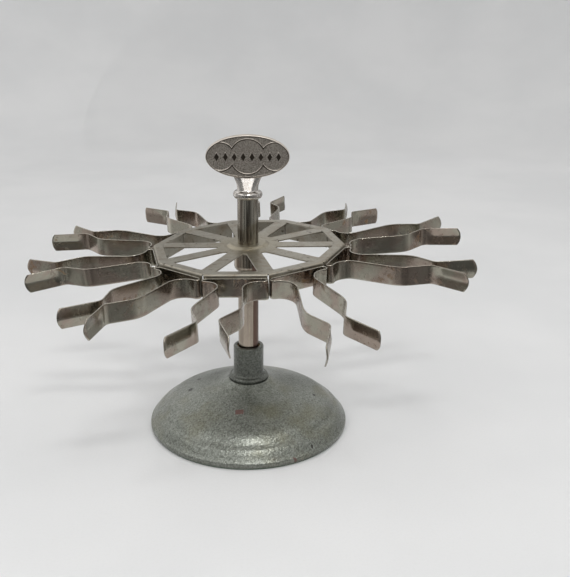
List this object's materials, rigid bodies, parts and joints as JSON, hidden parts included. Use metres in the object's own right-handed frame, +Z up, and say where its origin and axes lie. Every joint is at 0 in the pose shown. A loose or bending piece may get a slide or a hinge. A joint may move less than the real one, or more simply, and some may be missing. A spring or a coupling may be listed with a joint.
{
  "type": "rubber stamp carousel",
  "caption": "Desk carousel for rubber stamps: spring clips on a spoked plate that turns with its post and oval grip in the socket of a domed cast base.",
  "frame": {"origin": "on the turning axis, at the surface that the base stands on", "axes": "+Z up along the post; the oval grip faces -Y; +X to the right seen from the front"},
  "size_m": [0.2727, 0.2728, 0.186],
  "materials": {
    "hammertone_paint": "semi-gloss grey-green hammertone",
    "nickel_plate": "satin aged nickel plate with brown tarnish",
    "spring_strip": "satin nickel-plated spring steel, tarnished",
    "antique_nickel": "dark antique nickel with polished high edges",
    "plain_steel": "satin",
    "bronze": "oiled satin",
    "fibre": "matte",
    "felt": "matte green felt"
  },
  "bodies": {
    "stand": {"base_casting": "hammertone_paint", "felt_ring": "felt", "socket_collar": "hammertone_paint", "collar_washer": "plain_steel", "collar_nut": "plain_steel", "upper_bush": "bronze", "lower_bush": "bronze", "thrust_washer": "fibre"},
    "carousel": {"post": "nickel_plate", "hub_boss": "nickel_plate", "hub_set_screw": "plain_steel", "spider_plate": "nickel_plate", "upper_sleeve": "nickel_plate", "grip": "antique_nickel", "retaining_washer": "plain_steel", "spring_washer": "plain_steel", "retaining_screw": "plain_steel", "clip_01": "spring_strip", "clip_02": "spring_strip", "clip_03": "spring_strip", "clip_04": "spring_strip", "clip_05": "spring_strip", "clip_06": "spring_strip", "clip_07": "spring_strip", "clip_08": "spring_strip", "clip_09": "spring_strip", "clip_10": "spring_strip"}
  },
  "joints": [
    {"name": "carousel_spin", "type": "hinge", "parent": "stand", "child": "carousel", "pos_m": [0, 0, 0.05], "axis": [0, 0, 1], "continuous": true}
  ]
}
